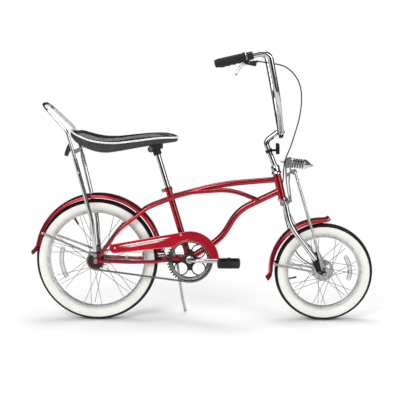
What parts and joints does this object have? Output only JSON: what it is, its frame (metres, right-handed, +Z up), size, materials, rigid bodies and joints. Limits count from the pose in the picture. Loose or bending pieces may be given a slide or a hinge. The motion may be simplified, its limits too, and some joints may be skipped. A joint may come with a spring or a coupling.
{
  "type": "chopper bicycle",
  "caption": "Small-wheeled chopper bicycle with a springer fork, tall handlebar, banana seat on a sissy bar, fenders, hub brakes and a side stand.",
  "frame": {"origin": "middle of the bounding box on the ground, with the bicycle parked on its side stand", "axes": "+X forward along the wheelbase, +Y to the rider's left, +Z up; the row's frame is the ground's: the bicycle leans 5 degrees to its left, as it stands on its side stand"},
  "size_m": [1.417, 0.6146, 1.1299],
  "materials": {
    "frame_paint": "deep metallic red gloss",
    "chrome": "mirror chrome plate",
    "steel": "zinc plate",
    "black_steel": "black oxide and paint",
    "tyre": "whitewall side with a black tread",
    "seat_cover": "glossy black vinyl with white piping",
    "black_rubber": "ribbed black rubber",
    "cable": "black cable housing",
    "black_plastic": "moulded black plastic",
    "clear_reflector": "clear reflector in a black housing",
    "red_reflector": "red reflector in a black housing"
  },
  "bodies": {
    "frame": {"head_tube": "frame_paint", "headset_cups": "chrome", "bottom_bracket": "frame_paint", "seat_tube": "frame_paint", "top_tube": "frame_paint", "down_tube": "frame_paint", "arch_tubes": "frame_paint", "chain_stays": "frame_paint", "dropouts": "frame_paint", "frame_bridges": "frame_paint", "guard_brackets": "steel", "rear_axle": "steel", "coaster_arm": "steel", "chain": "black_steel", "chain_guard": "frame_paint", "rear_fender": "frame_paint", "rear_fender_stays": "chrome", "seat_post": "chrome", "seat_clamp": "frame_paint", "seat_bracket": "black_steel", "seat_cushion": "seat_cover", "sissy_struts": "chrome", "sissy_loop": "chrome", "sissy_strap": "chrome", "rear_reflector": "red_reflector", "stand_bracket": "black_steel"},
    "steering": {"fork_crown": "chrome", "headset_nut": "chrome", "fork_legs": "chrome", "fork_ends": "black_steel", "fork_links": "black_steel", "springer_rods": "chrome", "springer_tower": "chrome", "spring": "black_steel", "spring_bolt": "chrome", "stem": "chrome", "handlebar": "chrome", "grips": "black_rubber", "brake_lever": "steel", "front_reflector": "clear_reflector", "brake_cable": "cable", "front_brake_plate": "steel", "front_axle": "steel", "front_fender": "frame_paint", "front_fender_stays": "chrome"},
    "front_wheel": {"front_tyre": "tyre", "front_rim": "chrome", "front_spokes": "steel", "front_hub": "chrome"},
    "rear_wheel": {"rear_tyre": "tyre", "rear_rim": "chrome", "rear_spokes": "steel", "rear_hub": "chrome"},
    "crank": {"crank": "chrome", "chainring": "chrome", "chainring_disc": "black_steel"},
    "pedal_right": {"pedal_right": "black_plastic"},
    "pedal_left": {"pedal_left": "black_plastic"},
    "rear_sprocket": {"rear_sprocket": "steel"},
    "side_stand": {"side_stand": "steel"}
  },
  "joints": [
    {"name": "steering", "type": "hinge", "parent": "frame", "child": "steering", "pos_m": [0.33498, -0.04805, 0.50695], "axis": [-0.225, 0.0849, 0.9707], "range_deg": [-60, 60]},
    {"name": "front_wheel_spin", "type": "hinge", "parent": "steering", "child": "front_wheel", "pos_m": [0.50628, -0.07475, 0.20182], "axis": [0, 0.9962, -0.0872], "continuous": true},
    {"name": "rear_wheel_spin", "type": "hinge", "parent": "frame", "child": "rear_wheel", "pos_m": [-0.43372, -0.0703, 0.25263], "axis": [0, 0.9962, -0.0872], "continuous": true},
    {"name": "crank_spin", "type": "hinge", "parent": "frame", "child": "crank", "pos_m": [-0.04572, -0.06987, 0.25761], "axis": [0, 0.9962, -0.0872], "continuous": true},
    {"name": "pedal_right_spin", "type": "hinge", "parent": "crank", "child": "pedal_right", "pos_m": [0.11528, -0.18941, 0.26807], "axis": [0, 0.9962, -0.0872], "continuous": true},
    {"name": "pedal_left_spin", "type": "hinge", "parent": "crank", "child": "pedal_left", "pos_m": [-0.20672, 0.04968, 0.24715], "axis": [0, 0.9962, -0.0872], "continuous": true},
    {"name": "sprocket_spin", "type": "hinge", "parent": "frame", "child": "rear_sprocket", "pos_m": [-0.43372, -0.11513, 0.25655], "axis": [0, 0.9962, -0.0872], "continuous": true},
    {"name": "side_stand_swing", "type": "hinge", "parent": "frame", "child": "side_stand", "pos_m": [-0.10372, -0.03003, 0.23103], "axis": [0, 0.9962, -0.0872], "range_deg": [0, 86]}
  ],
  "couplings": [
    {"joint": "sprocket_spin", "follows": "crank_spin", "ratio": 2.5556}
  ]
}
